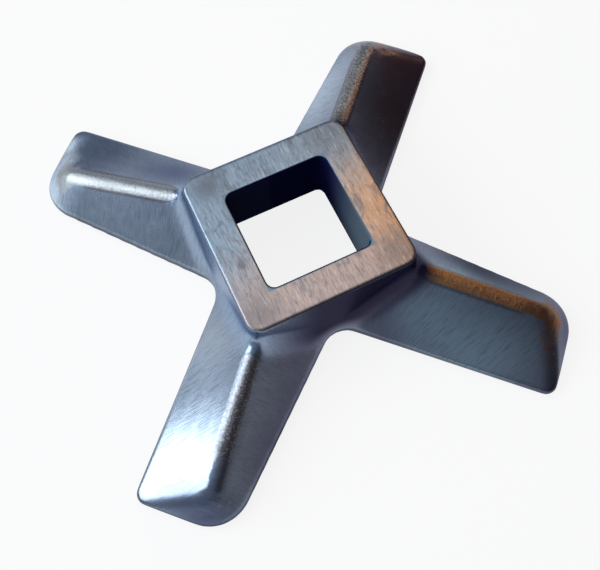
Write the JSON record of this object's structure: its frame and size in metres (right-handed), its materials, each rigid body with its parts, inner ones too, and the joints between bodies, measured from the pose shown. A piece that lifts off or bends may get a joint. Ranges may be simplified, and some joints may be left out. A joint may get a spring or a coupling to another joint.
{
  "type": "meat grinder knife",
  "caption": "Cross-shaped meat grinder knife cast in one piece: tapering blades with sloping flanks round a raised square hub with a square drive hole, flat on the cutting side.",
  "frame": {"origin": "centre of the drive hole, in the plane of the cutting face", "axes": "+Z along the drive hole, from the cutting face to the hub face; +X and +Y square to the flats of the drive hole, so the blades lie on the diagonals"},
  "size_m": [0.0546, 0.0546, 0.0097],
  "materials": {
    "steel": "cast steel with a bluish satin, ground on the flanks, the hub face and the cutting face, grainy along the crests"
  },
  "bodies": {
    "root": {"grinder_knife": "steel"}
  },
  "joints": []
}
